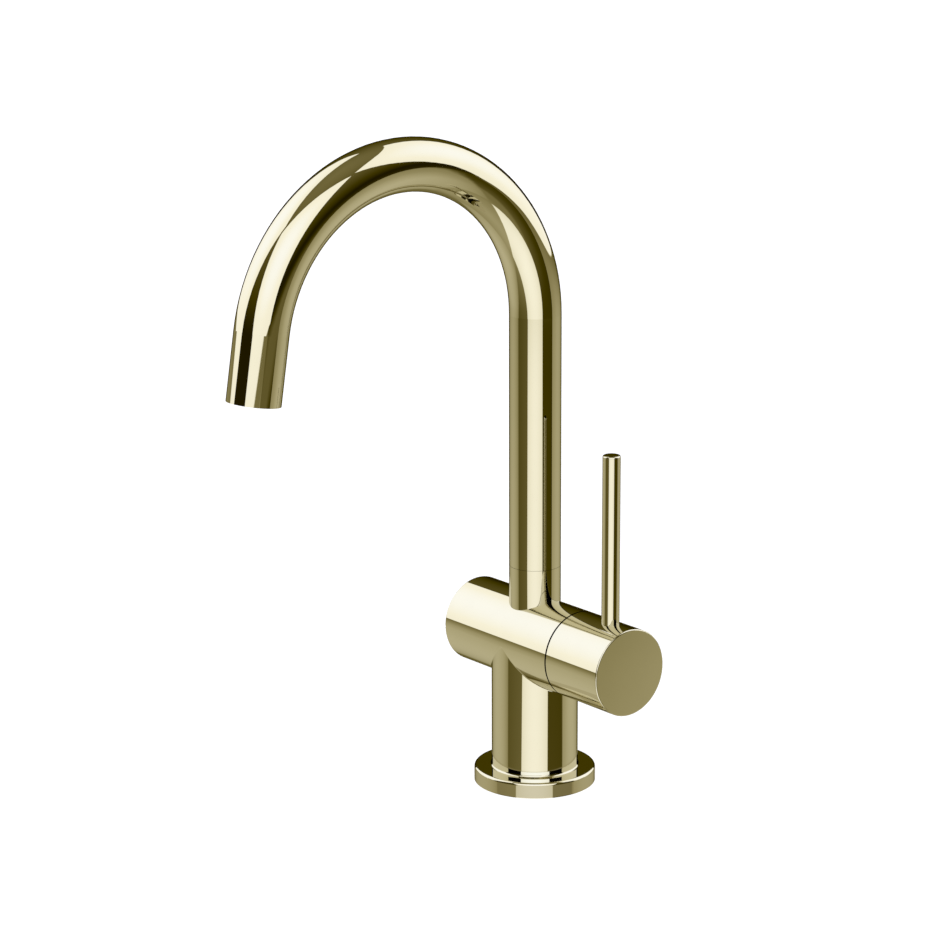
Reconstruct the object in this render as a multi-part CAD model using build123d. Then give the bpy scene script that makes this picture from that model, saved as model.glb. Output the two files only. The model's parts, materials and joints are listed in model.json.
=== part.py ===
from build123d import *
import os
from math import asin, cos, degrees, radians, sin

# Bathroom mixer with a crossways barrel, a turning end with a pin lever, and a swivelling gooseneck.
# Frame: millimetres, +Z up, deck at z = 0, column axis at the origin, handle towards +X, spout towards -Y.

# Outer shape
barrel_wall = 4.0
flange_overhang = 7.3
flange_thickness = 6.5
flange_edge_radius = 1.1
flange_foot_radius = 0.9
neck_height = 3.0
barrel_height = 61.4
barrel_back_reach = 37.4
handle_seam = 0.85
cap_length = 31.15
closed_end_radius = 0.3
cap_crown = 0.2
cap_rim_radius = 0.5
riser_stub = 14.0
saddle_radius = 0.6

# Spout
spout_diameter = 21.4
spout_wall = 1.5
spout_riser = 105.3
arch_radius = 67.7
arch_sweep = 170.8
outlet_leg = 27.4

# Lever
lever_diameter = 7.3
lever_reach = 87.8
lever_offset = 18.95
lever_tip_radius = 0.7
lever_socket_depth = 2.0
lever_stub_diameter = 4.9
lever_stub_length = 10.0

# Clearances
thread_clearance = 0.05
running_clearance = 0.05
seal_clearance = 0.03
lapped_clearance = 0.02
braze_clearance = 0.02
seat_clearance = 0.2
axial_clearance = 0.3
hose_clearance = 2.0

# Deck fixing
spigot_shoulder = 2.5
spigot_bottom = 1.0
gasket_margin = 1.5
gasket_width = 6.5
gasket_thickness = 2.0
flange_seal_section = 1.2
deck_thickness = 20.0
stud_diameter = 7.9
stud_wall = 2.55
stud_thread_depth = 17.0
stud_tail = 23.0
stud_tip_chamfer = 0.8
horseshoe_diameter = 46.0
horseshoe_gasket_thickness = 3.0
horseshoe_plate_thickness = 2.5
nut_width = 13.0
nut_height = 6.5

# Waterways
inlet_thread_diameter = 8.0
inlet_thread_length = 12.0
port_diameter = 5.5
port_margin = 1.65
seat_wall = 0.75
outlet_breakthrough = 3.0

# Cartridge, along the barrel from its seat
seat_setback = 4.0
mouth_diameter = 28.0
mouth_step = 1.0
cartridge_length = 21.0
cartridge_base_thickness = 4.0
cartridge_wall = 1.75
cartridge_neck_diameter = 17.0
cartridge_neck_length = 8.0
disc_clearance = 0.15
disc_thickness = 3.0
moving_disc_margin = 0.9
mixing_pocket_depth = 1.8
mixing_pocket_radius = 3.4
outlet_slot_depth = 1.5
drive_tongue_width = 5.0
drive_tongue_length = 12.0
drive_tongue_depth = 1.0
drive_plate_margin = 1.0
drive_plate_thickness = 3.0
inlet_seal_width = 1.15
inlet_seal_thickness = 1.5
stem_diameter = 9.0
stem_grip = 10.8
stem_flat_depth = 0.7
stem_seal_section = 1.3
groove_slack = 0.2
nut_ring_length = 8.0
nut_ring_slot_width = 4.0
nut_ring_slot_depth = 2.0

# Handle
glide_step = 0.6
glide_wall = 1.9
glide_projection = 3.2
glide_seat_length = 2.3
cap_counterbore_depth = 4.5
grub_diameter = 4.9
grub_length = 7.0
grub_key_width = 2.5
grub_key_depth = 2.5
plug_thickness = 1.6
plug_depth = 0.8

# Swivel
socket_wall = 1.33
socket_height = 31.0
nipple_wall = 2.3
nipple_thread_length = 10.0
nipple_lead = 1.6
swivel_seam = 0.1
bush_thickness = 0.4
bush_setback = 1.0
swivel_seal_count = 2
swivel_seal_section = 1.2
snap_groove_depth = 0.8
snap_ring_thickness = 1.0
snap_ring_gap = 4.0
stop_pin_diameter = 2.4
stop_pin_height = 2.4
stop_pin_length = 3.0
swivel_limit = 75.0

# Aerator, up from the mouth
aerator_recess = 1.5
aerator_length = 8.0
aerator_wall = 1.58
aerator_lip_width = 1.0
aerator_lip_height = 1.0
aerator_key_width = 2.0
aerator_key_depth = 0.8
aerator_key_count = 4
screen_thickness = 0.8
screen_hole_diameter = 1.2
screen_rings = 3
disc_rim = 1.2
insert_height = 4.2
insert_jet_diameter = 1.4
insert_rings = 2
aerator_seal_thickness = 1.5
aerator_seal_width = 2.0

# Radii that follow from these
mouth_radius = mouth_diameter / 2
body_radius = mouth_radius + barrel_wall
flange_radius = body_radius + flange_overhang
spigot_radius = body_radius - spigot_shoulder
gasket_outer_radius = flange_radius - gasket_margin
gasket_inner_radius = gasket_outer_radius - gasket_width
flange_bore_radius = spigot_radius + running_clearance
flange_seal_outer = flange_bore_radius - seal_clearance
flange_seal_root = flange_seal_outer - flange_seal_section
stud_radius = stud_diameter / 2
chamber_radius = mouth_radius - mouth_step
cartridge_radius = chamber_radius - seat_clearance
cavity_radius = cartridge_radius - cartridge_wall
disc_radius = cavity_radius - disc_clearance
moving_disc_radius = disc_radius - moving_disc_margin
drive_plate_radius = moving_disc_radius - drive_plate_margin
port_radius = port_diameter / 2
port_offset = disc_radius - port_margin - port_radius
inlet_seal_radius = port_radius + inlet_seal_width
stem_radius = stem_diameter / 2
stem_bore_radius = stem_radius + running_clearance
stem_seal_outer = stem_bore_radius - seal_clearance
stem_seal_root = stem_seal_outer - stem_seal_section
nut_ring_bore_radius = cartridge_neck_diameter / 2 + axial_clearance
glide_radius = mouth_radius - glide_step
spout_radius = spout_diameter / 2
spout_bore_radius = spout_radius - spout_wall
socket_radius = spout_bore_radius - braze_clearance
socket_bore_radius = socket_radius - socket_wall
nipple_radius = socket_bore_radius - running_clearance
nipple_bore_radius = nipple_radius - nipple_wall
swivel_seal_outer = socket_bore_radius - seal_clearance
swivel_seal_root = swivel_seal_outer - swivel_seal_section
snap_groove_radius = nipple_radius - snap_groove_depth
snap_ring_radius = spout_bore_radius - axial_clearance
stop_pin_reach = spout_bore_radius - seat_clearance
bush_radius = spout_radius - bush_setback
aerator_radius = spout_bore_radius - braze_clearance
aerator_bore_radius = aerator_radius - aerator_wall
insert_radius = aerator_bore_radius - thread_clearance

# Stations along the barrel
seat_x = -seat_setback
base_front_x = seat_x + cartridge_base_thickness
moving_disc_x = base_front_x + disc_thickness + lapped_clearance
drive_plate_x = moving_disc_x + disc_thickness
drive_plate_front_x = drive_plate_x + drive_plate_thickness
cavity_front_x = drive_plate_front_x + axial_clearance
housing_front_x = seat_x + cartridge_length
neck_front_x = housing_front_x + cartridge_neck_length
nut_ring_front_x = housing_front_x + nut_ring_length
stem_seal_x = (cavity_front_x + housing_front_x) / 2
glide_start_x = nut_ring_front_x + axial_clearance
barrel_front_x = glide_start_x + glide_seat_length
glide_front_x = barrel_front_x + glide_projection
cap_start_x = barrel_front_x + handle_seam
cap_floor_x = cap_start_x + cap_counterbore_depth
cap_end_x = cap_start_x + cap_length
stem_end_x = cap_floor_x + stem_grip
grub_x = cap_floor_x + stem_grip / 2
lever_x = cap_start_x + lever_offset
inlet_x = seat_x - seat_wall - port_radius
stud_x = spigot_radius - stud_wall - stud_radius

# Heights
neck_top = flange_thickness + neck_height
flange_seal_height = (spigot_bottom + neck_top) / 2
barrel_top = barrel_height + body_radius
lever_top = barrel_height + lever_reach
lever_floor = barrel_top - lever_socket_depth
stem_flat_height = barrel_height - stem_radius + stem_flat_depth
riser_seam_height = barrel_top + riser_stub
arch_centre_height = riser_seam_height + spout_riser
spout_foot = riser_seam_height + swivel_seam
bush_top = spout_foot - lapped_clearance
bush_low = bush_top - bush_thickness
socket_top = spout_foot + socket_height
snap_ring_low = socket_top + seat_clearance
snap_ring_top = snap_ring_low + snap_ring_thickness
nipple_low = riser_seam_height - nipple_thread_length
nipple_top = snap_ring_top + nipple_lead
stop_pin_z = spout_foot + stop_pin_height
seal_spacing = socket_height / (swivel_seal_count + 1)
swivel_seal_levels = [spout_foot + seal_spacing * (i + 1) for i in range(swivel_seal_count)]
horseshoe_gasket_low = -deck_thickness - horseshoe_gasket_thickness
horseshoe_plate_low = horseshoe_gasket_low - horseshoe_plate_thickness
nut_low = horseshoe_plate_low - nut_height
stud_low = nut_low - stud_tail
stud_high = spigot_bottom + stud_thread_depth
inlet_thread_top = spigot_bottom + inlet_thread_length

# The two water inlets lie either side of the column's middle plane
inlet_ys = (port_offset, -port_offset)

from_base = (Align.CENTER, Align.CENTER, Align.MIN)
near = 0.01


def upright(radius, low, high, x=0.0, y=0.0):
    """A cylinder along Z between two heights."""
    return Pos(x, y, low) * Cylinder(radius, high - low, align=from_base)


def crossways(radius, start, end, y=0.0, z=barrel_height):
    """A cylinder along X between two stations."""
    return Pos(start, y, z) * Rot(0, 90, 0) * Cylinder(radius, end - start, align=from_base)


def upright_ring(outer, inner, low, high):
    return upright(outer, low, high) - upright(inner, low, high)


def crossways_ring(outer, inner, start, end):
    return crossways(outer, start, end) - crossways(inner, start, end)


def circles_at_height(shape, radius, height):
    """The circular edges of one radius at one height."""
    edges = shape.edges().filter_by(GeomType.CIRCLE)
    return [e for e in edges if abs(e.radius - radius) < near and abs(e.arc_center.Z - height) < near]


def circles_at_station(shape, radius, station):
    """The circular edges of one radius at one station along X."""
    edges = shape.edges().filter_by(GeomType.CIRCLE)
    return [e for e in edges if abs(e.radius - radius) < near and abs(e.arc_center.X - station) < near]


def seal_ring(root, outer):
    """An O-ring about Z that reaches from its groove's root to the wall it seals on."""
    section_radius = (outer - root) / 2
    return Torus(root + section_radius, section_radius)


def seal_groove(surface, root, section, middle):
    """The ring of metal that an O-ring's groove takes out of an upright shaft."""
    half_width = section / 2 + groove_slack
    return upright_ring(surface, root, middle - half_width, middle + half_width)


# Deck flange and fixing


def make_flange_gasket():
    return upright_ring(gasket_outer_radius, gasket_inner_radius, 0, gasket_thickness)


def make_base_flange():
    flange = upright(flange_radius, 0, flange_thickness) + upright(body_radius, 0, neck_top)
    flange = fillet(circles_at_height(flange, body_radius, flange_thickness), flange_foot_radius)
    flange = fillet(circles_at_height(flange, flange_radius, flange_thickness), flange_edge_radius)
    flange -= upright(flange_bore_radius, 0, neck_top)
    return flange - make_flange_gasket()


def make_flange_o_ring():
    return Pos(0, 0, flange_seal_height) * seal_ring(flange_seal_root, flange_seal_outer)


def make_mounting_stud():
    stud = upright(stud_radius, stud_low, stud_high, x=stud_x)
    return chamfer(circles_at_height(stud, stud_radius, stud_low), stud_tip_chamfer)


def horseshoe(low, thickness):
    """A round plate with a slot for the hoses, open at the back, and a hole for the stud."""
    plate = upright(horseshoe_diameter / 2, low, low + thickness)
    hose_reach = inlet_thread_diameter / 2 + hose_clearance
    slot_end = inlet_x + hose_reach
    slot_length = horseshoe_diameter / 2 + slot_end
    slot_width = 2 * (port_offset + hose_reach)
    slot = Box(slot_length, slot_width, thickness, align=(Align.MAX, Align.CENTER, Align.MIN))
    plate -= Pos(slot_end, 0, low) * slot
    return plate - upright(stud_radius + seat_clearance, low, low + thickness, x=stud_x)


def make_horseshoe_gasket():
    return horseshoe(horseshoe_gasket_low, horseshoe_gasket_thickness)


def make_horseshoe_plate():
    return horseshoe(horseshoe_plate_low, horseshoe_plate_thickness)


def make_mounting_nut():
    outline = RegularPolygon(nut_width / 2, 6, major_radius=False)
    nut = Pos(stud_x, 0, nut_low) * extrude(outline, nut_height)
    return nut - upright(stud_radius + thread_clearance, nut_low, horseshoe_plate_low, x=stud_x)


# Body


def is_saddle(edge):
    """True for the curves where the column meets the underside of the barrel."""
    box = edge.bounding_box()
    on_column = box.max.X < body_radius + near and -box.min.X < body_radius + near
    return on_column and neck_top + near < box.min.Z and box.max.Z < barrel_height + near


def body_hollows():
    """The cartridge chamber and its mouth, the waterways, the bush's recess and the stud's hole."""
    hollows = crossways(chamber_radius, seat_x, housing_front_x)
    hollows += crossways(mouth_radius + thread_clearance, housing_front_x, barrel_front_x)
    outlet_low = barrel_height + chamber_radius - outlet_breakthrough
    hollows += upright(nipple_bore_radius, outlet_low, riser_seam_height)
    hollows += upright(nipple_radius + thread_clearance, nipple_low, riser_seam_height)
    hollows += upright(bush_radius + running_clearance, bush_low, riser_seam_height)
    hollows += upright(stud_radius + thread_clearance, spigot_bottom, stud_high, x=stud_x)
    for y in inlet_ys:
        hollows += upright(inlet_thread_diameter / 2, spigot_bottom, inlet_thread_top, inlet_x, y)
        hollows += upright(port_radius, inlet_thread_top, barrel_height + port_radius, inlet_x, y)
        hollows += crossways(port_radius, inlet_x, seat_x, y=y)
    return hollows


def make_body_casting():
    column = upright(body_radius, neck_top, barrel_height)
    barrel = crossways(body_radius, -barrel_back_reach, barrel_front_x)
    barrel = fillet(circles_at_station(barrel, body_radius, -barrel_back_reach), closed_end_radius)
    body = column + barrel
    body = fillet([e for e in body.edges() if is_saddle(e)], saddle_radius)
    body += upright(spout_radius, barrel_height, riser_seam_height)
    body += upright(spigot_radius, spigot_bottom, neck_top)
    body -= body_hollows()
    return body - seal_groove(spigot_radius, flange_seal_root, flange_seal_section, flange_seal_height)


# Cartridge


def port_holes(start, end):
    """The cartridge's two inlet ports between two stations."""
    ports = [crossways(port_radius, start, end, y=y) for y in inlet_ys]
    return ports[0] + ports[1]


def outlet_port(start, end):
    """The mixed water's port, above the cartridge's axis."""
    return crossways(port_radius, start, end, z=barrel_height + port_offset)


def make_cartridge_base():
    base = crossways(cartridge_radius, seat_x, base_front_x) - port_holes(seat_x, base_front_x)
    for y in inlet_ys:
        base -= crossways(inlet_seal_radius, seat_x, seat_x + inlet_seal_thickness, y=y)
    channel_back_x = base_front_x - outlet_slot_depth
    base -= outlet_port(channel_back_x, base_front_x)
    channel = Box(outlet_slot_depth, port_diameter, cartridge_radius - port_offset, align=Align.MIN)
    return base - Pos(channel_back_x, -port_radius, barrel_height + port_offset) * channel


def make_inlet_seals():
    seal_front_x = seat_x + inlet_seal_thickness
    seals = []
    for y in inlet_ys:
        outer = crossways(inlet_seal_radius, seat_x, seal_front_x, y=y)
        seals.append(outer - crossways(port_radius, seat_x, seal_front_x, y=y))
    return Compound(children=seals)


def make_cartridge_housing():
    shell = crossways(cartridge_radius, base_front_x, housing_front_x)
    shell += crossways(cartridge_neck_diameter / 2, housing_front_x, neck_front_x)
    shell -= crossways(cavity_radius, base_front_x, cavity_front_x)
    return shell - crossways(stem_bore_radius, cavity_front_x, neck_front_x)


def make_fixed_disc():
    disc_front_x = base_front_x + disc_thickness
    disc = crossways(disc_radius, base_front_x, disc_front_x)
    disc -= port_holes(base_front_x, disc_front_x)
    return disc - outlet_port(base_front_x, disc_front_x)


def drive_tongue(slack=0.0):
    """The block on the drive plate that turns the moving disc, with some slack for its slot."""
    width = drive_tongue_width + 2 * slack
    length = drive_tongue_length + 2 * slack
    block = Box(drive_tongue_depth, length, width, align=(Align.MAX, Align.CENTER, Align.CENTER))
    return Pos(drive_plate_x, 0, barrel_height) * block


def make_moving_disc():
    disc = crossways(moving_disc_radius, moving_disc_x, drive_plate_x)
    pocket_front_x = moving_disc_x + mixing_pocket_depth
    pocket_z = barrel_height + port_offset - mixing_pocket_radius / 2
    disc -= crossways(mixing_pocket_radius, moving_disc_x, pocket_front_x, z=pocket_z)
    return disc - drive_tongue(running_clearance)


def make_cartridge_spindle():
    spindle = crossways(drive_plate_radius, drive_plate_x, drive_plate_front_x)
    spindle += crossways(stem_radius, drive_plate_front_x, stem_end_x)
    spindle += drive_tongue()
    groove_half = stem_seal_section / 2 + groove_slack
    groove_start_x = stem_seal_x - groove_half
    groove_end_x = stem_seal_x + groove_half
    spindle -= crossways_ring(stem_radius, stem_seal_root, groove_start_x, groove_end_x)
    flat = Box(stem_grip, stem_diameter, stem_diameter, align=(Align.MAX, Align.CENTER, Align.MAX))
    return spindle - Pos(stem_end_x, 0, stem_flat_height) * flat


def make_spindle_o_ring():
    return Pos(stem_seal_x, 0, barrel_height) * Rot(0, 90, 0) * seal_ring(stem_seal_root, stem_seal_outer)


def make_cartridge_nut():
    nut = crossways_ring(mouth_radius, nut_ring_bore_radius, housing_front_x, nut_ring_front_x)
    slot_align = (Align.MAX, Align.CENTER, Align.CENTER)
    slot = Box(nut_ring_slot_depth, mouth_diameter, nut_ring_slot_width, align=slot_align)
    return nut - Pos(nut_ring_front_x, 0, barrel_height) * slot


# Handle


def make_handle_glide_ring():
    ring = crossways(mouth_radius, glide_start_x, barrel_front_x)
    ring += crossways(glide_radius, barrel_front_x, glide_front_x)
    return ring - crossways(glide_radius - glide_wall, glide_start_x, glide_front_x)


def make_handle_cap():
    """The turning end of the barrel. A large sphere gives its face the slight crown that polishing leaves."""
    cap = crossways(body_radius, cap_start_x, cap_end_x)
    crown_radius = (body_radius ** 2 + cap_crown ** 2) / (2 * cap_crown)
    cap &= Pos(cap_end_x - crown_radius, 0, barrel_height) * Rot(0, 0, 180) * Sphere(crown_radius)
    cap = fillet(circles_at_station(cap, body_radius, cap_end_x - cap_crown), cap_rim_radius)
    cap -= crossways(glide_radius + running_clearance, cap_start_x, cap_floor_x)
    cap -= crossways(stem_radius + lapped_clearance, cap_start_x, stem_end_x + axial_clearance)
    stub_hole_low = lever_floor - lever_stub_length - axial_clearance
    cap -= upright(lever_stub_diameter / 2 + thread_clearance, stub_hole_low, lever_floor, x=lever_x)
    cap -= upright(lever_diameter / 2 + lapped_clearance, lever_floor, barrel_top, x=lever_x)
    screw_hole_radius = grub_diameter / 2 + thread_clearance
    return cap - upright(screw_hole_radius, barrel_height - body_radius, barrel_height, x=grub_x)


def make_lever_rod():
    rod = upright(lever_diameter / 2, lever_floor, lever_top, x=lever_x)
    rod = fillet(circles_at_height(rod, lever_diameter / 2, lever_top), lever_tip_radius)
    return rod + upright(lever_stub_diameter / 2, lever_floor - lever_stub_length, lever_floor, x=lever_x)


def make_handle_grub_screw():
    tip = stem_flat_height - lapped_clearance
    screw = upright(grub_diameter / 2, tip - grub_length, tip, x=grub_x)
    key = RegularPolygon(grub_key_width / 2, 6, major_radius=False)
    return screw - Pos(grub_x, 0, tip - grub_length) * extrude(key, grub_key_depth)


def make_grub_screw_plug():
    low = barrel_height - body_radius + plug_depth
    return upright(grub_diameter / 2, low, low + plug_thickness, x=grub_x)


# Swivel


def stop_pin_body(radius):
    """A cylinder along +Y, at the back of the nipple."""
    pin = Rot(-90, 0, 0) * Cylinder(radius, stop_pin_length, align=from_base)
    return Pos(0, stop_pin_reach - stop_pin_length, stop_pin_z) * pin


def make_swivel_stop_pin():
    return stop_pin_body(stop_pin_diameter / 2)


def make_spout_nipple():
    nipple = upright_ring(nipple_radius, nipple_bore_radius, nipple_low, nipple_top)
    for level in swivel_seal_levels:
        nipple -= seal_groove(nipple_radius, swivel_seal_root, swivel_seal_section, level)
    nipple -= upright_ring(nipple_radius, snap_groove_radius, snap_ring_low, snap_ring_top)
    return nipple - stop_pin_body(stop_pin_diameter / 2 + lapped_clearance)


def make_spout_o_rings():
    ring = seal_ring(swivel_seal_root, swivel_seal_outer)
    return Compound(children=[Pos(0, 0, level) * ring for level in swivel_seal_levels])


def make_spout_retaining_ring():
    ring = upright_ring(snap_ring_radius, snap_groove_radius, snap_ring_low, snap_ring_top)
    gap_align = (Align.MIN, Align.CENTER, Align.MIN)
    gap = Box(snap_ring_radius, snap_ring_gap, snap_ring_thickness, align=gap_align)
    return ring - Pos(0, 0, snap_ring_low) * gap


def make_swivel_bush():
    return upright_ring(bush_radius, nipple_radius + running_clearance, bush_low, bush_top)


def make_spout_socket():
    """The sleeve in the spout's foot, with a slot that leaves the stop pin its travel."""
    socket = upright_ring(socket_radius, socket_bore_radius, spout_foot, socket_top)
    pin_half_angle = degrees(asin((stop_pin_diameter / 2 + seat_clearance) / nipple_radius))
    half_angle = swivel_limit + pin_half_angle
    slot_height = stop_pin_height + stop_pin_diameter / 2 + axial_clearance
    sector = Cylinder(spout_radius, slot_height, arc_size=2 * half_angle, align=Align.NONE)
    return socket - Pos(0, 0, spout_foot) * Rot(0, 0, 90 - half_angle) * sector


# Spout

sweep_angle = radians(arch_sweep)
mouth_heading = Vector(0, -sin(sweep_angle), cos(sweep_angle))
arch_end_y = -arch_radius * (1 - cos(sweep_angle))
arch_end_z = arch_centre_height + arch_radius * sin(sweep_angle)
mouth = Vector(0, arch_end_y, arch_end_z) + mouth_heading * outlet_leg
up_the_leg = Plane(origin=mouth, x_dir=(1, 0, 0), z_dir=-mouth_heading).location


def gooseneck(radius):
    """A round bar along the spout: up the riser, over the arch and down the outlet leg."""
    riser = upright(radius, spout_foot, arch_centre_height)
    pivot = Axis((0, -arch_radius, arch_centre_height), (1, 0, 0))
    arch = revolve(Pos(0, 0, arch_centre_height) * Circle(radius), axis=pivot, revolution_arc=arch_sweep)
    leg = up_the_leg * Cylinder(radius, outlet_leg, align=from_base)
    return riser + arch + leg


def make_spout_tube():
    return gooseneck(spout_radius) - gooseneck(spout_bore_radius)


# Aerator

screen_low = aerator_recess + aerator_lip_height
insert_low = screen_low + screen_thickness
aerator_top = aerator_recess + aerator_length


def leg_ring(outer, inner, low, high):
    """A ring about the outlet leg, between two distances up from the mouth."""
    ring = Cylinder(outer, high - low, align=from_base) - Cylinder(inner, high - low, align=from_base)
    return up_the_leg * Pos(0, 0, low) * ring


def make_aerator_housing():
    lip_radius = aerator_bore_radius - aerator_lip_width
    housing = leg_ring(aerator_radius, aerator_bore_radius, screen_low, aerator_top)
    housing += leg_ring(aerator_radius, lip_radius, aerator_recess, screen_low)
    notch = Box(2 * aerator_key_depth, aerator_key_width, aerator_lip_height / 2, align=from_base)
    for place in PolarLocations(lip_radius, aerator_key_count):
        housing -= up_the_leg * Pos(0, 0, aerator_recess) * place * notch
    return housing


def drilled_disc(low, thickness, hole_diameter, rings):
    """A disc inside the aerator with a middle hole and rings of holes in sixes."""
    pitch = (insert_radius - disc_rim - hole_diameter / 2) / rings
    places = [Location((0, 0, 0))]
    for ring in range(1, rings + 1):
        places += list(PolarLocations(ring * pitch, 6 * ring))
    holes = [place * Circle(hole_diameter / 2) for place in places]
    return up_the_leg * Pos(0, 0, low) * extrude(Circle(insert_radius) - holes, thickness)


def make_aerator_screen():
    return drilled_disc(screen_low, screen_thickness, screen_hole_diameter, screen_rings)


def make_aerator_insert():
    return drilled_disc(insert_low, insert_height, insert_jet_diameter, insert_rings)


def make_aerator_seal():
    inner = aerator_radius - aerator_seal_width
    return leg_ring(aerator_radius, inner, aerator_top, aerator_top + aerator_seal_thickness)


parts = {
    "base_flange": make_base_flange,
    "flange_gasket": make_flange_gasket,
    "flange_o_ring": make_flange_o_ring,
    "mounting_stud": make_mounting_stud,
    "horseshoe_gasket": make_horseshoe_gasket,
    "horseshoe_plate": make_horseshoe_plate,
    "mounting_nut": make_mounting_nut,
    "body_casting": make_body_casting,
    "cartridge_base": make_cartridge_base,
    "inlet_seals": make_inlet_seals,
    "cartridge_housing": make_cartridge_housing,
    "fixed_disc": make_fixed_disc,
    "moving_disc": make_moving_disc,
    "cartridge_spindle": make_cartridge_spindle,
    "spindle_o_ring": make_spindle_o_ring,
    "cartridge_nut": make_cartridge_nut,
    "handle_glide_ring": make_handle_glide_ring,
    "handle_cap": make_handle_cap,
    "lever_rod": make_lever_rod,
    "handle_grub_screw": make_handle_grub_screw,
    "grub_screw_plug": make_grub_screw_plug,
    "spout_nipple": make_spout_nipple,
    "spout_o_rings": make_spout_o_rings,
    "spout_retaining_ring": make_spout_retaining_ring,
    "swivel_bush": make_swivel_bush,
    "swivel_stop_pin": make_swivel_stop_pin,
    "spout_socket": make_spout_socket,
    "spout_tube": make_spout_tube,
    "aerator_housing": make_aerator_housing,
    "aerator_screen": make_aerator_screen,
    "aerator_insert": make_aerator_insert,
    "aerator_seal": make_aerator_seal,
}

os.makedirs("parts", exist_ok=True)
for node, make in parts.items():
    export_step(make(), f"parts/{node}.step")
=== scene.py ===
import json
import math

import bpy
import numpy as np
from mathutils import Euler, Matrix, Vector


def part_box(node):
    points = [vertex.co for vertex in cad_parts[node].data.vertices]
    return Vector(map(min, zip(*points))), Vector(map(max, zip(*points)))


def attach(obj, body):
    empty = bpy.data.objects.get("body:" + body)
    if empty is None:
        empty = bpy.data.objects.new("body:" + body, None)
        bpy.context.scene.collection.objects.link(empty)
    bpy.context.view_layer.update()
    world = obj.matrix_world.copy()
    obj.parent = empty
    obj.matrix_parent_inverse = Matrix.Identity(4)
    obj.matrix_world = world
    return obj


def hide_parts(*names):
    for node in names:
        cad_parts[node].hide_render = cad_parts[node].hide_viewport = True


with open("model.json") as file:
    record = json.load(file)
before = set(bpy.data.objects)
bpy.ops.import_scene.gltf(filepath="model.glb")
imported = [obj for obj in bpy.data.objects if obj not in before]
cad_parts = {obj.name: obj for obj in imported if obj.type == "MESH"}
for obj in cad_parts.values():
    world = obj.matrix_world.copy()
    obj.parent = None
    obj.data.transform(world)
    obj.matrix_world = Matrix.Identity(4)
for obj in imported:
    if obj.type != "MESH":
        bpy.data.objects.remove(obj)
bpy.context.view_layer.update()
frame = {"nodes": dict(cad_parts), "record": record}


def toward(azimuth, elevation):
    """A unit direction, from degrees: azimuth 0 looks along -Y and 90 along +X, elevation is up from the
    horizon."""
    a = math.radians(azimuth)
    e = math.radians(elevation)
    return np.array([math.sin(a) * math.cos(e), -math.cos(a) * math.cos(e), math.sin(e)])


def screen(red, green, blue):
    """A colour given as it looks on a screen, 0 to 255 in each channel, turned into linear light."""
    c = np.array([red, green, blue], float) / 255.0
    low = c / 12.92
    high = ((c + 0.055) / 1.055) ** 2.4
    return np.where(c <= 0.04045, low, high)


# Node trees are written through these few helpers

def add_node(tree, kind, **settings):
    """A new node in a tree, with its properties set by name."""
    node = tree.nodes.new(kind)
    for name, value in settings.items():
        setattr(node, name, value)
    return node


def feed(tree, socket, value):
    """Gives a socket its value: a link from another socket, or a constant set directly on it."""
    if isinstance(value, bpy.types.NodeSocket):
        tree.links.new(value, socket)
    else:
        socket.default_value = value


def maths(tree, operation, a, b=0.0, c=0.0, clamp=False):
    """One maths node and its result."""
    node = add_node(tree, "ShaderNodeMath", operation=operation, use_clamp=clamp)
    feed(tree, node.inputs[0], a)
    feed(tree, node.inputs[1], b)
    feed(tree, node.inputs[2], c)
    return node.outputs[0]


def dot(tree, a, b):
    """The dot product of two vectors."""
    node = add_node(tree, "ShaderNodeVectorMath", operation="DOT_PRODUCT")
    feed(tree, node.inputs[0], a)
    feed(tree, node.inputs[1], b)
    return node.outputs["Value"]


def ramp_between(tree, value, start, end, out_start=0.0, out_end=1.0):
    """A smooth step from out_start to out_end as value goes from start to end."""
    node = add_node(tree, "ShaderNodeMapRange", interpolation_type="SMOOTHSTEP", clamp=True)
    feed(tree, node.inputs["Value"], value)
    feed(tree, node.inputs["From Min"], start)
    feed(tree, node.inputs["From Max"], end)
    feed(tree, node.inputs["To Min"], out_start)
    feed(tree, node.inputs["To Max"], out_end)
    return node.outputs["Result"]


def add_mix(tree, factor, a, b):
    """A value between a and b by factor."""
    node = add_node(tree, "ShaderNodeMix", data_type="FLOAT")
    feed(tree, node.inputs[0], factor)
    feed(tree, node.inputs[2], a)
    feed(tree, node.inputs[3], b)
    return node.outputs[0]


def mix_colours(tree, factor, a, b, blend="MIX"):
    """One colour mixed over another."""
    node = add_node(tree, "ShaderNodeMix", data_type="RGBA", blend_type=blend)
    feed(tree, node.inputs["Factor"], factor)
    feed(tree, node.inputs["A"], a)
    feed(tree, node.inputs["B"], b)
    return node.outputs["Result"]


def colour_along(tree, value, stops):
    """A colour ramp: stops are (place from 0 to 1, linear colour)."""
    node = add_node(tree, "ShaderNodeValToRGB")
    ramp = node.color_ramp
    ramp.interpolation = "LINEAR"
    while len(ramp.elements) < len(stops):
        ramp.elements.new(0.5)
    for element, (place, colour) in zip(ramp.elements, stops):
        element.position = place
        element.color = (*colour, 1.0)
    feed(tree, node.inputs["Fac"], value)
    return node.outputs["Color"]


def group_sockets(group, inputs, outputs):
    """Declares a node group's sockets: (name, kind, default)."""
    kinds = {"value": "NodeSocketFloat", "vector": "NodeSocketVector", "colour": "NodeSocketColor"}
    for name, kind, default in inputs:
        socket = group.interface.new_socket(name, in_out="INPUT", socket_type=kinds[kind])
        socket.default_value = default
    for name, kind in outputs:
        group.interface.new_socket(name, in_out="OUTPUT", socket_type=kinds[kind])


# The studio: three tall softboxes leaning over the tap, dim gaps between them, and three cards low down

METAL = np.array([0.70, 0.655, 0.46])
PANEL = screen(247, 240.5, 214.5) / METAL
PANEL_AGAIN = PANEL * (0.98, 1.0, 1.1)

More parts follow.
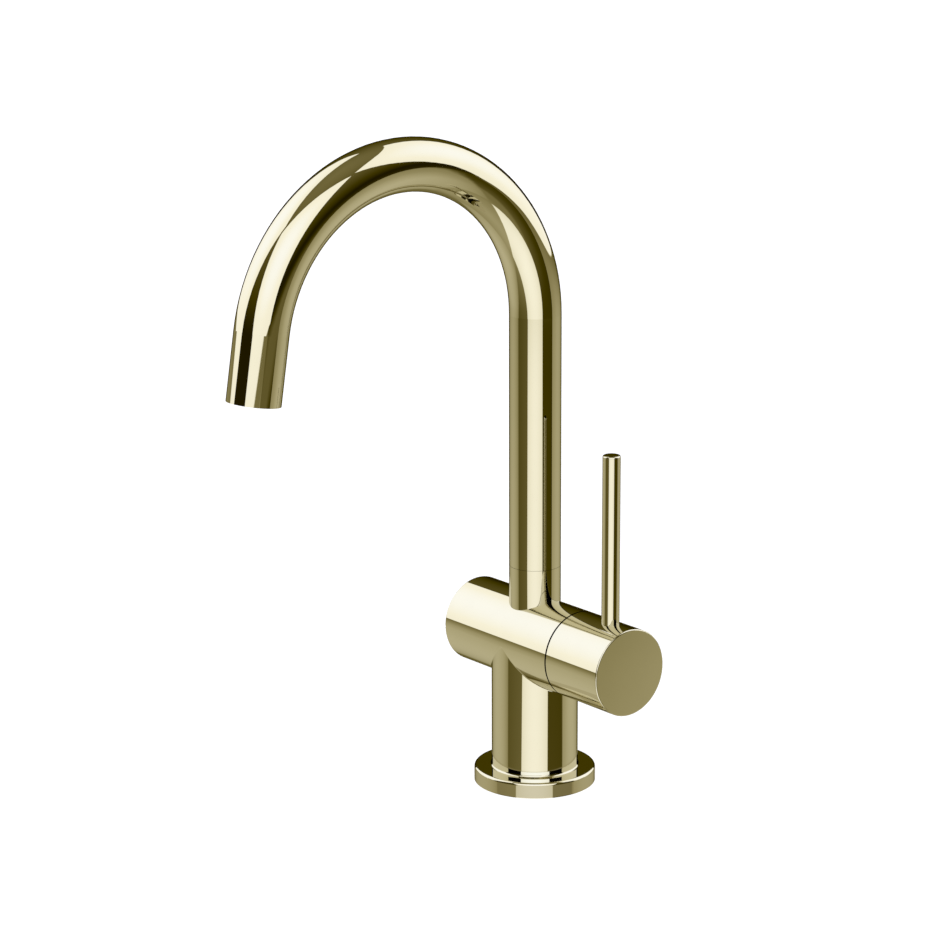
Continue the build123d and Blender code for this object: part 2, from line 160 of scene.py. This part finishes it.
# Light is given as a share of a softbox's own, by elevation in degrees
FRONT_GAP = [(-90, 0.34), (-60, 0.325), (-45, 0.205), (-25, 0.14), (-12, 0.09), (-4, 0.064)]
HANDLE_GAP = [
    (-90, 0.34),
    (-60, 0.325),
    (-45, 0.215),
    (-35, 0.195),
    (-30, 0.105),
    (-16, 0.05),
    (-12, 0.042),
    (-10.7, 0.12),
    (-7, 0.12),
    (-3, 0.034),
]
UPPER_GAPS = [(0, 0.0155), (4, 0.012), (14, 0.036), (40, 0.089), (70, 0.155), (90, 0.178)]
DIM_CARD = [(-75, 0.29), (-65, 0.38), (-42, 0.48), (-18, 0.445), (-12, 0.38), (-3, 0.175)]
BRIGHT_CARD = [(-68, 0.92), (-40, 1.0), (-13, 0.96), (-9, 0.656), (-6, 0.2), (-3, 0.175)]

# The low cards share one tilt and their lower and upper edges, as elevations in degrees
CARD_TILT = -33.7
CARD_LOWER_EDGE = -66.5
CARD_UPPER_EDGE = -2.0
# Each card: azimuth, half width, light, softness and falloff towards its sides
LOW_CARDS = [
    (-64.5, 0.72, DIM_CARD, 0.04, 0.45),
    (164.0, 0.72, DIM_CARD, 0.03, 0.45),
    (49.5, 0.652, BRIGHT_CARD, 0.02, 0.16),
]

# The softboxes share one tilt, width and lower edge
SOFTBOX_TILT = 29.6
SOFTBOX_HALF_WIDTH = 0.719
SOFTBOX_LOWER_EDGE = -3.0
SOFTBOX_SOFTNESS = 0.008
SOFTBOX_RIM_LIGHT = 0.965
SOFTBOX_MIDDLE_GAIN = 0.075
FRONT_AZIMUTH = 51.5
# Each softbox: azimuth and the elevation of its upper edge
SOFTBOXES = [(FRONT_AZIMUTH, 65.0), (164.5, 67.5), (-64.0, 69.5)]

# How green and blue follow the light, and how much light above the usual level whitens them
GREEN_POWER = 1.08
BLUE_POWER = 1.5
BLUE_LOSS = 0.01
GREEN_WHITENING = 0.9
BLUE_WHITENING = 4.3

# Light that is mirrored a second time
AGAIN_GAP_POWER = 2.0
AGAIN_PANEL_LIGHT = 0.74
AGAIN_BAND_GAIN = 0.58
AGAIN_BAND_ELEVATION = 20.0
AGAIN_FLOOR_LIGHT = 0.58
AGAIN_WHITENING = 0.22


def softbox_group():
    """A flat panel seen from the tap: 1 inside its straight edges, 0 outside, with a soft rim.
    The direction is projected on the panel's plane, so across and up are tangents of angles.
    Edge is 0 along the panel's middle line and 1 at its two sides.
    Rise is 0 half-way up, 1 at the top and -1 at the bottom."""
    group = bpy.data.node_groups.new("softbox outline", "ShaderNodeTree")
    group_sockets(
        group,
        [
            ("Direction", "vector", (0, 0, 1)),
            ("Facing", "vector", (0, 0, 1)),
            ("Sideways", "vector", (1, 0, 0)),
            ("Upward", "vector", (0, 1, 0)),
            ("Half Width", "value", 0.8),
            ("Lower Edge", "value", -0.7),
            ("Upper Edge", "value", 0.6),
            ("Softness", "value", 0.01),
        ],
        [("Mask", "value"), ("Edge", "value"), ("Rise", "value")],
    )
    enter = add_node(group, "NodeGroupInput")
    leave = add_node(group, "NodeGroupOutput")
    get = enter.outputs
    ahead = dot(group, get["Direction"], get["Facing"])
    depth = maths(group, "MAXIMUM", ahead, 0.0001)
    aside = maths(group, "DIVIDE", dot(group, get["Direction"], get["Sideways"]), depth)
    across = maths(group, "ABSOLUTE", aside)
    up = maths(group, "DIVIDE", dot(group, get["Direction"], get["Upward"]), depth)
    outside = get["Softness"]
    inside = maths(group, "MULTIPLY", outside, -1.0)
    beyond = maths(group, "SUBTRACT", across, get["Half Width"])
    above = maths(group, "SUBTRACT", up, get["Upper Edge"])
    below = maths(group, "SUBTRACT", get["Lower Edge"], up)
    mask = maths(group, "GREATER_THAN", ahead, 0.001)
    for distance in (beyond, above, below):
        mask = maths(group, "MULTIPLY", mask, ramp_between(group, distance, inside, outside, 1.0, 0.0))
    rise = maths(group, "DIVIDE", maths(group, "SUBTRACT", below, above), maths(group, "ADD", below, above))
    group.links.new(mask, leave.inputs["Mask"])
    group.links.new(maths(group, "DIVIDE", across, get["Half Width"]), leave.inputs["Edge"])
    group.links.new(rise, leave.inputs["Rise"])
    return group


SOFTBOX = softbox_group()


def softbox(tree, direction, azimuth, elevation, half_width, lower, upper, softness):
    """The mask, edge and rise of one panel whose plane is square to this azimuth and elevation.
    Its lower and upper edges are elevations along its middle line."""
    facing = toward(azimuth, elevation)
    sideways = toward(azimuth + 90.0, 0.0)
    upward = np.cross(facing, sideways)
    upward = upward * np.sign(upward[2])
    node = add_node(tree, "ShaderNodeGroup", node_tree=SOFTBOX)
    feed(tree, node.inputs["Direction"], direction)
    feed(tree, node.inputs["Facing"], facing)
    feed(tree, node.inputs["Sideways"], sideways)
    feed(tree, node.inputs["Upward"], upward)
    feed(tree, node.inputs["Half Width"], half_width)
    feed(tree, node.inputs["Lower Edge"], math.tan(math.radians(lower - elevation)))
    feed(tree, node.inputs["Upper Edge"], math.tan(math.radians(upper - elevation)))
    feed(tree, node.inputs["Softness"], softness)
    return node.outputs["Mask"], node.outputs["Edge"], node.outputs["Rise"]


def level_along(tree, climb, stops):
    """Light that changes with elevation: stops are (elevation in degrees, share of a softbox's light)."""
    greys = [(0.5 + degrees / 180.0, [share] * 3) for degrees, share in stops]
    return colour_along(tree, climb, greys)


def fall_off(tree, distance, amount):
    """1 in the middle, less by amount at distance 1, as a parabola."""
    return maths(tree, "MULTIPLY_ADD", maths(tree, "MULTIPLY", distance, distance), -amount, 1.0)


def dim_gaps(tree, direction, height, climb):
    """The darker light between the panels. Below the horizon the gap on the handle's side is dimmer,
    and each gap gets lighter towards the handle's side."""
    handle_side = ramp_between(tree, dot(tree, direction, toward(110.0, 0.0)), -0.1, 0.6)
    light = add_mix(
        tree,
        handle_side,
        level_along(tree, climb, FRONT_GAP + UPPER_GAPS),
        level_along(tree, climb, HANDLE_GAP + UPPER_GAPS),
    )
    middle = add_mix(tree, handle_side, -0.1, 0.95)
    past_middle = maths(tree, "SUBTRACT", dot(tree, direction, toward(90.0, 0.0)), middle)
    tilt = maths(tree, "MULTIPLY_ADD", past_middle, 0.45, 1.0)
    low = maths(tree, "LESS_THAN", height, 0.0)
    return maths(tree, "MULTIPLY", light, add_mix(tree, low, 1.0, tilt))


def mirrored_twice(tree, direction, height, light):
    """Light that the metal mirrors a second time. From above, the gaps are deeper and the panels dimmer,
    apart from a band across the front one. From below, it comes from the floor that the tap itself shades."""
    band_middle = toward(FRONT_AZIMUTH, AGAIN_BAND_ELEVATION)
    ahead = ramp_between(tree, dot(tree, direction, band_middle), 0.6, 0.8)
    band = maths(
        tree,
        "MULTIPLY",
        ramp_between(tree, height, 0.295, 0.325),
        ramp_between(tree, height, 0.36, 0.46, 1.0, 0.0),
    )
    in_band = maths(tree, "MULTIPLY", ahead, band)
    panels = maths(tree, "MULTIPLY_ADD", in_band, AGAIN_BAND_GAIN, AGAIN_PANEL_LIGHT)
    above = maths(tree, "MULTIPLY", maths(tree, "POWER", light, AGAIN_GAP_POWER), panels)
    shaded = ramp_between(tree, height, -0.42, -0.30, AGAIN_FLOOR_LIGHT, 1.0)
    below = maths(tree, "MULTIPLY", light, shaded)
    return add_mix(tree, maths(tree, "GREATER_THAN", height, 0.0), below, above)


def build_studio():
    """The light from every direction as the polished metal mirrors it, and plain white to the camera.
    The dimmer the light, the warmer: green and blue follow it to powers above 1.
    Light above a softbox's usual level turns whiter instead."""
    world = bpy.data.worlds.new("studio")
    bpy.context.scene.world = world
    world.use_nodes = True
    tree = world.node_tree
    tree.nodes.clear()
    direction = add_node(tree, "ShaderNodeTexCoord").outputs["Generated"]
    parts = add_node(tree, "ShaderNodeSeparateXYZ")
    feed(tree, parts.inputs[0], direction)
    height = parts.outputs["Z"]
    climb = maths(tree, "MULTIPLY_ADD", maths(tree, "ARCSINE", height), 1.0 / math.pi, 0.5)

    light = dim_gaps(tree, direction, height, climb)
    for azimuth, half_width, levels, softness, falloff in LOW_CARDS:
        edges = (CARD_LOWER_EDGE, CARD_UPPER_EDGE)
        mask, edge, rise = softbox(tree, direction, azimuth, CARD_TILT, half_width, *edges, softness)
        card = maths(tree, "MULTIPLY", level_along(tree, climb, levels), fall_off(tree, edge, falloff))
        light = add_mix(tree, mask, light, card)
    for azimuth, upper in SOFTBOXES:
        shape = (SOFTBOX_TILT, SOFTBOX_HALF_WIDTH, SOFTBOX_LOWER_EDGE, upper, SOFTBOX_SOFTNESS)
        mask, edge, rise = softbox(tree, direction, azimuth, *shape)
        middle = maths(tree, "MULTIPLY", fall_off(tree, edge, 1.0), fall_off(tree, rise, 1.0), clamp=True)
        panel = maths(tree, "MULTIPLY_ADD", middle, SOFTBOX_MIDDLE_GAIN, SOFTBOX_RIM_LIGHT)
        light = add_mix(tree, mask, light, panel)

    path = add_node(tree, "ShaderNodeLightPath")
    again = maths(tree, "GREATER_THAN", path.outputs["Glossy Depth"], 1.5)
    light = add_mix(tree, again, light, mirrored_twice(tree, direction, height, light))

    above_usual = maths(tree, "MAXIMUM", maths(tree, "SUBTRACT", light, 1.0), 0.0)
    hot = maths(tree, "MULTIPLY", above_usual, add_mix(tree, again, 1.0, AGAIN_WHITENING))
    green = maths(tree, "MULTIPLY_ADD", hot, GREEN_WHITENING, maths(tree, "POWER", light, GREEN_POWER))
    warm = maths(tree, "SUBTRACT", maths(tree, "POWER", light, BLUE_POWER), BLUE_LOSS)
    blue = maths(tree, "MAXIMUM", maths(tree, "MULTIPLY_ADD", hot, BLUE_WHITENING, warm), 0.0)
    tone = add_node(tree, "ShaderNodeCombineXYZ")
    feed(tree, tone.inputs[0], light)
    feed(tree, tone.inputs[1], green)
    feed(tree, tone.inputs[2], blue)
    tinted = add_node(tree, "ShaderNodeVectorMath", operation="MULTIPLY")
    feed(tree, tinted.inputs[0], tone.outputs[0])
    feed(tree, tinted.inputs[1], mix_colours(tree, again, (*PANEL, 1.0), (*PANEL_AGAIN, 1.0)))
    shown = mix_colours(tree, path.outputs["Is Camera Ray"], tinted.outputs[0], (1.0, 1.0, 1.0, 1.0))
    glow = add_node(tree, "ShaderNodeBackground")
    feed(tree, glow.inputs["Color"], shown)
    feed(tree, glow.inputs["Strength"], 1.0)
    out = add_node(tree, "ShaderNodeOutputWorld")
    tree.links.new(glow.outputs[0], out.inputs["Surface"])


# The floor, in metres

FLOOR_HALF = 6.0
FLOOR_GREY = 0.45
FLOOR_GLOW = 0.75
# The sheet of painted shade round the foot: its half width and height, where it starts and ends fading, and
# how much it covers
SHADE_HALF = 0.052
SHADE_HEIGHT = 0.0002
SHADE_STARTS_FADING = 0.0405
SHADE_ENDS = 0.0430
SHADE_COVER = 0.47


def new_object(name, points, faces):
    """A mesh object at the origin, from points and faces."""
    mesh = bpy.data.meshes.new(name)
    mesh.from_pydata(np.asarray(points, float).tolist(), [], np.asarray(faces, int).tolist())
    piece = bpy.data.objects.new(name, mesh)
    bpy.context.scene.collection.objects.link(piece)
    return piece


def square(half, height):
    """A flat square about the origin: its four corners and one face."""
    corners = [(-half, -half, height), (half, -half, height), (half, half, height), (-half, half, height)]
    return corners, [(0, 1, 2, 3)]


def build_floor():
    """A wide white floor at the deck's height. Its own glow keeps it white and leaves a faint contact
    shadow."""
    floor = new_object("floor", *square(FLOOR_HALF, 0.0))
    material = bpy.data.materials.new("white floor")
    material.use_nodes = True
    tree = material.node_tree
    tree.nodes.clear()
    matt = add_node(tree, "ShaderNodeBsdfDiffuse")
    feed(tree, matt.inputs["Color"], (FLOOR_GREY, FLOOR_GREY, FLOOR_GREY, 1.0))
    glow = add_node(tree, "ShaderNodeEmission")
    feed(tree, glow.inputs["Color"], (1.0, 1.0, 1.0, 1.0))
    feed(tree, glow.inputs["Strength"], FLOOR_GLOW)
    both = add_node(tree, "ShaderNodeAddShader")
    tree.links.new(matt.outputs[0], both.inputs[0])
    tree.links.new(glow.outputs[0], both.inputs[1])
    out = add_node(tree, "ShaderNodeOutputMaterial")
    tree.links.new(both.outputs[0], out.inputs["Surface"])
    floor.data.materials.append(material)
    floor.visible_glossy = False


def build_painted_foot_shade():
    """A sheet of painted shade over the floor close round the foot, as the metal mirrors it: its glow paints
    the floor half shaded, and gone by 43 mm from the axis. Only mirrored rays meet it."""
    shade = new_object("painted_foot_shade", *square(SHADE_HALF, SHADE_HEIGHT))
    material = bpy.data.materials.new("painted floor shade")
    material.use_nodes = True
    tree = material.node_tree
    tree.nodes.clear()
    place = add_node(tree, "ShaderNodeTexCoord").outputs["Object"]
    away = add_node(tree, "ShaderNodeVectorMath", operation="LENGTH")
    feed(tree, away.inputs[0], place)
    distance = away.outputs["Value"]
    cover = ramp_between(tree, distance, SHADE_STARTS_FADING, SHADE_ENDS, SHADE_COVER, 0.0)
    clear = add_node(tree, "ShaderNodeBsdfTransparent")
    glow = add_node(tree, "ShaderNodeEmission")
    # The glow's colour is painted shade: the floor's shaded tone as the gold mirrors it
    feed(tree, glow.inputs["Color"], (*(screen(149, 137, 94) / METAL), 1.0))
    feed(tree, glow.inputs["Strength"], 1.0)
    both = add_node(tree, "ShaderNodeMixShader")
    feed(tree, both.inputs[0], cover)
    tree.links.new(clear.outputs[0], both.inputs[1])
    tree.links.new(glow.outputs[0], both.inputs[2])
    out = add_node(tree, "ShaderNodeOutputMaterial")
    tree.links.new(both.outputs[0], out.inputs["Surface"])
    shade.data.materials.append(material)
    shade.visible_camera = False
    shade.visible_diffuse = False
    shade.visible_transmission = False
    shade.visible_shadow = False


IMAGE_WIDTH = 940.0
FOCAL_PIXELS = 3125.63
SENSOR_WIDTH = 36.0
CAMERA_PLACE = (0.95132, -0.79363, 0.45673)
CAMERA_AZIMUTH = 51.397
CAMERA_LOOKS_DOWN = 14.619
CAMERA_ROLL = -0.2286


def build_camera():
    """The photograph's view: a long lens, well above the barrel, from the front right."""
    data = bpy.data.cameras.new("camera")
    data.sensor_width = SENSOR_WIDTH
    data.lens = FOCAL_PIXELS * SENSOR_WIDTH / IMAGE_WIDTH
    data.clip_end = 50.0
    camera = bpy.data.objects.new("camera", data)
    camera.location = CAMERA_PLACE
    tilt = math.radians(90.0 - CAMERA_LOOKS_DOWN)
    aim = Euler((tilt, 0.0, math.radians(CAMERA_AZIMUTH))).to_matrix()
    roll = Matrix.Rotation(math.radians(CAMERA_ROLL), 3, "Z")
    camera.rotation_euler = (aim @ roll).to_euler()
    bpy.context.scene.collection.objects.link(camera)
    bpy.context.scene.camera = camera


# Surface effects that several materials share

def grain_group():
    """The mottle of a surface at a place in metres.
    Fine is noise at the grain's size, Broad at eight times it."""
    group = bpy.data.node_groups.new("surface grain", "ShaderNodeTree")
    sockets = [("Place", "vector", (0, 0, 0)), ("Size", "value", 0.001)]
    group_sockets(group, sockets, [("Fine", "value"), ("Broad", "value")])
    enter = add_node(group, "NodeGroupInput")
    leave = add_node(group, "NodeGroupOutput")
    per_metre = maths(group, "DIVIDE", 1.0, enter.outputs["Size"])
    for name, share in (("Fine", 1.0), ("Broad", 0.125)):
        noise = add_node(group, "ShaderNodeTexNoise", noise_dimensions="3D")
        feed(group, noise.inputs["Vector"], enter.outputs["Place"])
        feed(group, noise.inputs["Scale"], maths(group, "MULTIPLY", per_metre, share))
        feed(group, noise.inputs["Detail"], 3.0)
        group.links.new(noise.outputs[0], leave.inputs[name])
    return group


def turning_group():
    """The fine rings that a lathe leaves: noise of the distance along the turning axis, in steps of a
    pitch."""
    group = bpy.data.node_groups.new("turning rings", "ShaderNodeTree")
    sockets = [("Place", "vector", (0, 0, 0)), ("Axis", "vector", (0, 0, 1)), ("Pitch", "value", 0.0002)]
    group_sockets(group, sockets, [("Rings", "value")])
    enter = add_node(group, "NodeGroupInput")
    leave = add_node(group, "NodeGroupOutput")
    along = dot(group, enter.outputs["Place"], enter.outputs["Axis"])
    noise = add_node(group, "ShaderNodeTexNoise", noise_dimensions="1D")
    feed(group, noise.inputs["W"], maths(group, "DIVIDE", along, enter.outputs["Pitch"]))
    feed(group, noise.inputs["Scale"], 1.0)
    feed(group, noise.inputs["Detail"], 2.0)
    group.links.new(noise.outputs[0], leave.inputs["Rings"])
    return group


GRAIN = grain_group()
TURNING = turning_group()


def grain(tree, place, size):
    """Fine and broad mottle at a place."""
    node = add_node(tree, "ShaderNodeGroup", node_tree=GRAIN)
    feed(tree, node.inputs["Place"], place)
    feed(tree, node.inputs["Size"], size)
    return node.outputs["Fine"], node.outputs["Broad"]


def turning(tree, place, axis, pitch):
    """Lathe rings about an axis."""
    node = add_node(tree, "ShaderNodeGroup", node_tree=TURNING)
    feed(tree, node.inputs["Place"], place)
    feed(tree, node.inputs["Axis"], axis)
    feed(tree, node.inputs["Pitch"], pitch)
    return node.outputs["Rings"]


def start_material(name, metallic):
    """A new material with one principled shader, and the surface's own coordinates in metres."""
    material = bpy.data.materials.new(name)
    material.use_nodes = True
    tree = material.node_tree
    tree.nodes.clear()
    shader = add_node(tree, "ShaderNodeBsdfPrincipled")
    feed(tree, shader.inputs["Metallic"], metallic)
    out = add_node(tree, "ShaderNodeOutputMaterial")
    tree.links.new(shader.outputs[0], out.inputs["Surface"])
    place = add_node(tree, "ShaderNodeTexCoord").outputs["Object"]
    return material, tree, shader, place


def relief(tree, shader, height, depth):
    """Bumps a surface by a height from 0 to 1, over a depth in metres."""
    bump = add_node(tree, "ShaderNodeBump")
    feed(tree, bump.inputs["Distance"], depth)
    feed(tree, bump.inputs["Height"], height)
    tree.links.new(bump.outputs["Normal"], shader.inputs["Normal"])


def polished_gold():
    """Mirror-polished pale gold plate: a trace of haze from the polishing, and a faint drift of tone."""
    material, tree, shader, place = start_material("polished gold", 1.0)
    fine, broad = grain(tree, place, 0.0015)
    tone = colour_along(tree, broad, [(0.25, METAL * 0.99), (0.75, METAL * 1.01)])
    feed(tree, shader.inputs["Base Color"], tone)
    feed(tree, shader.inputs["Roughness"], ramp_between(tree, fine, 0.25, 0.75, 0.02, 0.036))
    return material


RING_PITCH = 0.00018
RING_DEPTH = 0.000012


def turned_metal(name, axis, dark, pale, rough):
    """Bare metal off the lathe: rings across its axis, with a little tarnish between them."""
    material, tree, shader, place = start_material(name, 1.0)
    rings = turning(tree, place, axis, RING_PITCH)
    fine, broad = grain(tree, place, 0.0008)
    tarnish = maths(tree, "MULTIPLY_ADD", rings, 0.4, maths(tree, "MULTIPLY", broad, 0.6))
    feed(tree, shader.inputs["Base Color"], colour_along(tree, tarnish, [(0.3, dark), (0.7, pale)]))
    feed(tree, shader.inputs["Roughness"], ramp_between(tree, rings, 0.25, 0.75, rough + 0.1, rough - 0.05))
    relief(tree, shader, rings, RING_DEPTH)
    return material


def zinc_plate():
    """Zinc-plated steel: a cloudy grey with cool and straw-coloured patches, and a fine crystal grain."""
    material, tree, shader, place = start_material("zinc plate", 1.0)
    fine, broad = grain(tree, place, 0.0006)
    cool = screen(176, 181, 186)
    plain = screen(190, 190, 186)
    straw = screen(199, 191, 166)
    clouds = colour_along(tree, broad, [(0.3, cool), (0.5, plain), (0.75, straw)])
    feed(tree, shader.inputs["Base Color"], clouds)
    feed(tree, shader.inputs["Roughness"], ramp_between(tree, fine, 0.25, 0.75, 0.24, 0.4))
    relief(tree, shader, fine, 0.00001)
    return material


def moulded(name, dark, pale, grain_size, rough, depth):
    """Moulded plastic or rubber: a matt skin with a slight cloudiness and the mould's fine texture."""
    material, tree, shader, place = start_material(name, 0.0)
    fine, broad = grain(tree, place, grain_size)
    feed(tree, shader.inputs["Base Color"], colour_along(tree, broad, [(0.3, dark), (0.7, pale)]))
    feed(tree, shader.inputs["Roughness"], ramp_between(tree, fine, 0.25, 0.75, rough - 0.06, rough + 0.06))
    relief(tree, shader, fine, depth)
    return material


# The darker and paler colour of each finish
BRASS = (screen(186, 152, 88), screen(222, 192, 122))
STAINLESS = (screen(168, 168, 166), screen(206, 206, 203))
RUBBER = (screen(28, 28, 29), screen(46, 46, 47))
BLACK_PLASTIC = (screen(16, 16, 17), screen(26, 26, 27))
WHITE_PLASTIC = (screen(222, 221, 214), screen(236, 236, 230))
GREY_PLASTIC = (screen(112, 113, 116), screen(132, 133, 136))
CERAMIC = (screen(231, 229, 221), screen(243, 242, 237))

# Turned metals end with their roughness, and moulded ones with grain size, roughness and depth of grain
MATERIALS = {
    "polished_gold": polished_gold(),
    "brass_along_z": turned_metal("turned brass upright", (0, 0, 1), *BRASS, 0.22),
    "brass_along_x": turned_metal("turned brass crossways", (1, 0, 0), *BRASS, 0.22),
    "stainless_steel": turned_metal("turned stainless steel", (0, 0, 1), *STAINLESS, 0.24),
    "plated_steel": zinc_plate(),
    "black_rubber": moulded("black rubber", *RUBBER, 0.0003, 0.62, 0.00003),
    "black_acetal": moulded("black acetal", *BLACK_PLASTIC, 0.0002, 0.42, 0.00001),
    "white_acetal": moulded("white acetal", *WHITE_PLASTIC, 0.0003, 0.4, 0.00001),
    "ceramic": moulded("lapped ceramic", *CERAMIC, 0.0001, 0.16, 0.000002),
    "grey_acetal": moulded("grey acetal", *GREY_PLASTIC, 0.0003, 0.42, 0.00001),
}
CROSSWAYS_BRASS = ("cartridge_nut", "cartridge_spindle")


def material_for(node, slot):
    """The material of a CAD node, from its slot in the record."""
    if slot == "raw_brass":
        return MATERIALS["brass_along_x" if node in CROSSWAYS_BRASS else "brass_along_z"]
    return MATERIALS[slot]


# The stud, with its thread, in metres

THREAD_PITCH = 0.00125
THREAD_DEPTH = 0.00072
THREAD_TIP = 0.0008
ROD_SIDES = 48
ROWS_PER_PITCH = 8


def threaded_rod(centre, radius, low, high):
    """A rod whose radius dips by a triangle wave that climbs one pitch for each turn, from the crest down
    to the thread's depth. Its lower end is cut back to a cone over the tip, and a disc closes each end."""
    turns = np.arange(ROD_SIDES) / ROD_SIDES
    heights = np.linspace(low, high, int(ROWS_PER_PITCH * (high - low) / THREAD_PITCH) + 1)
    turn, z = np.meshgrid(turns, heights)
    wave = np.abs(2.0 * ((z / THREAD_PITCH - turn) % 1.0) - 1.0)
    r = np.minimum(radius - THREAD_DEPTH * wave, radius - THREAD_TIP + (z - low))
    angle = 2.0 * np.pi * turn
    grid = np.stack([centre[0] + r * np.cos(angle), centre[1] + r * np.sin(angle), z], -1).reshape(-1, 3)
    ends = [(centre[0], centre[1], low), (centre[0], centre[1], high)]
    points = np.concatenate([grid, ends])
    row = np.arange(ROD_SIDES)
    after = (row + 1) % ROD_SIDES
    start = (np.arange(len(heights) - 1) * ROD_SIDES)[:, None]
    next_start = start + ROD_SIDES
    wall = np.stack([start + row, start + after, next_start + after, next_start + row], -1).reshape(-1, 4)
    last = (len(heights) - 1) * ROD_SIDES
    lower_disc = np.stack([after, row, np.full(ROD_SIDES, len(grid))], -1)
    upper_disc = np.stack([last + row, last + after, np.full(ROD_SIDES, len(grid) + 1)], -1)
    return points, wall.tolist() + lower_disc.tolist() + upper_disc.tolist()


def build_stud():
    """The mounting stud in the CAD stud's place, with a real 8 mm thread."""
    low, high = np.array(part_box("mounting_stud"))
    centre = (low + high) / 2
    points, faces = threaded_rod(centre, (high[0] - low[0]) / 2, low[2], high[2])
    mesh = bpy.data.meshes.new("threaded_stud")
    mesh.from_pydata(points.tolist(), [], faces)
    mesh.set_sharp_from_angle(angle=math.radians(35.0))
    mesh.materials.append(MATERIALS["plated_steel"])
    stud = bpy.data.objects.new("threaded_stud", mesh)
    bpy.context.scene.collection.objects.link(stud)
    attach(stud, "body")
    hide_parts("mounting_stud")


build_studio()
build_floor()
build_painted_foot_shade()
build_camera()
bpy.context.scene.view_settings.view_transform = "Standard"

slots = {part["node"]: part["material_slot"] for part in frame["record"]["subparts"]}
for name, part in frame["nodes"].items():
    for index in range(len(part.material_slots)):
        part.material_slots[index].material = material_for(name, slots[name])
build_stud()
